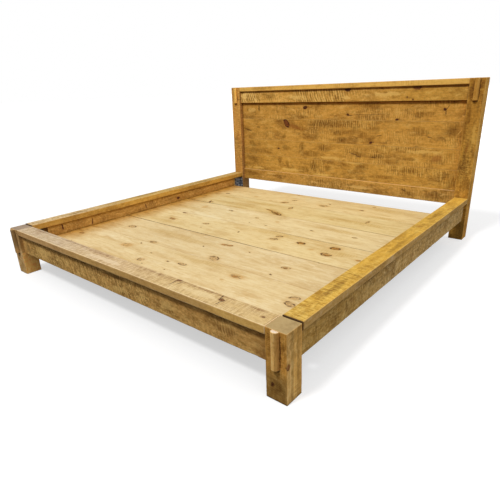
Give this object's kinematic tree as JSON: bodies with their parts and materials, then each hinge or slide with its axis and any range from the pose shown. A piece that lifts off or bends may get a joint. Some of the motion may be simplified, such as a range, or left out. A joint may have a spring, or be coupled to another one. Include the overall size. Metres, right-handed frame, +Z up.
{
  "type": "platform bed",
  "caption": "Rustic king platform bed of square sawn pine: plank headboard between posts, flat-capped side and foot rails, recessed board deck on cleats.",
  "frame": {"origin": "on the floor, under the middle of the bounding box", "axes": "+Y from the foot end to the headboard, +X to the right as seen from the foot end, +Z up"},
  "size_m": [2.134, 2.274, 1.072],
  "materials": {
    "stained_pine": "rough-sawn pine, honey antique stain under a low-sheen clear coat",
    "natural_pine": "planed natural pine with small dark knots, unstained",
    "framing_pine": "planed framing pine, unfinished",
    "black_steel": "black coated steel plate",
    "zinc_steel": "zinc plated steel",
    "glide_plastic": "black moulded nylon"
  },
  "bodies": {
    "root": {"batten_screws": "zinc_steel", "beam_bracket_foot": "zinc_steel", "beam_bracket_head": "zinc_steel", "centre_beam": "framing_pine", "centre_leg_bolts": "zinc_steel", "centre_leg_foot": "framing_pine", "centre_leg_head": "framing_pine", "centre_leg_middle": "framing_pine", "cleat_screws": "zinc_steel", "cross_rail_bracket_left": "zinc_steel", "cross_rail_bracket_right": "zinc_steel", "foot_post_left": "stained_pine", "foot_post_right": "stained_pine", "foot_post_strip_left": "stained_pine", "foot_post_strip_right": "stained_pine", "footboard_apron": "stained_pine", "footboard_cap_rail": "stained_pine", "footboard_cleat": "framing_pine", "head_cross_rail": "framing_pine", "head_post_left": "stained_pine", "head_post_right": "stained_pine", "head_post_strip_left": "stained_pine", "head_post_strip_right": "stained_pine", "headboard_band": "stained_pine", "headboard_batten_centre": "stained_pine", "headboard_batten_left": "stained_pine", "headboard_batten_right": "stained_pine", "headboard_bottom_board": "stained_pine", "headboard_cap_rail": "stained_pine", "headboard_plank_1": "stained_pine", "headboard_plank_2": "stained_pine", "headboard_plank_3": "stained_pine", "headboard_plank_4": "stained_pine", "leg_inserts": "zinc_steel", "rail_bracket_bolts": "zinc_steel", "rail_bracket_foot_left": "black_steel", "rail_bracket_foot_right": "black_steel", "rail_bracket_head_left": "black_steel", "rail_bracket_head_right": "black_steel", "side_rail_apron_left": "stained_pine", "side_rail_apron_right": "stained_pine", "side_rail_cap_left": "stained_pine", "side_rail_cap_right": "stained_pine", "side_rail_cleat_left": "framing_pine", "side_rail_cleat_right": "framing_pine", "side_rail_inner_board_left": "stained_pine", "side_rail_inner_board_right": "stained_pine"},
    "deck_panel_foot": {"deck_board_1": "natural_pine", "deck_board_2": "natural_pine", "deck_board_3": "natural_pine"},
    "deck_panel_middle": {"deck_board_4": "natural_pine", "deck_board_5": "natural_pine"},
    "deck_panel_head": {"deck_board_6": "natural_pine", "deck_board_7": "natural_pine"},
    "glide_foot": {"levelling_foot_foot": "glide_plastic"},
    "glide_middle": {"levelling_foot_middle": "glide_plastic"},
    "glide_head": {"levelling_foot_head": "glide_plastic"}
  },
  "joints": [
    {"name": "deck_panel_foot_lift", "type": "slide", "parent": "root", "child": "deck_panel_foot", "axis": [0, 0, 1], "range_m": [0, 0.065]},
    {"name": "deck_panel_middle_lift", "type": "slide", "parent": "root", "child": "deck_panel_middle", "axis": [0, 0, 1], "range_m": [0, 0.065]},
    {"name": "deck_panel_head_lift", "type": "slide", "parent": "root", "child": "deck_panel_head", "axis": [0, 0, 1], "range_m": [0, 0.065]},
    {"name": "glide_foot_screw", "type": "slide", "parent": "root", "child": "glide_foot", "axis": [0, 0, 1], "range_m": [0, 0.01]},
    {"name": "glide_middle_screw", "type": "slide", "parent": "root", "child": "glide_middle", "axis": [0, 0, 1], "range_m": [0, 0.01]},
    {"name": "glide_head_screw", "type": "slide", "parent": "root", "child": "glide_head", "axis": [0, 0, 1], "range_m": [0, 0.01]}
  ]
}
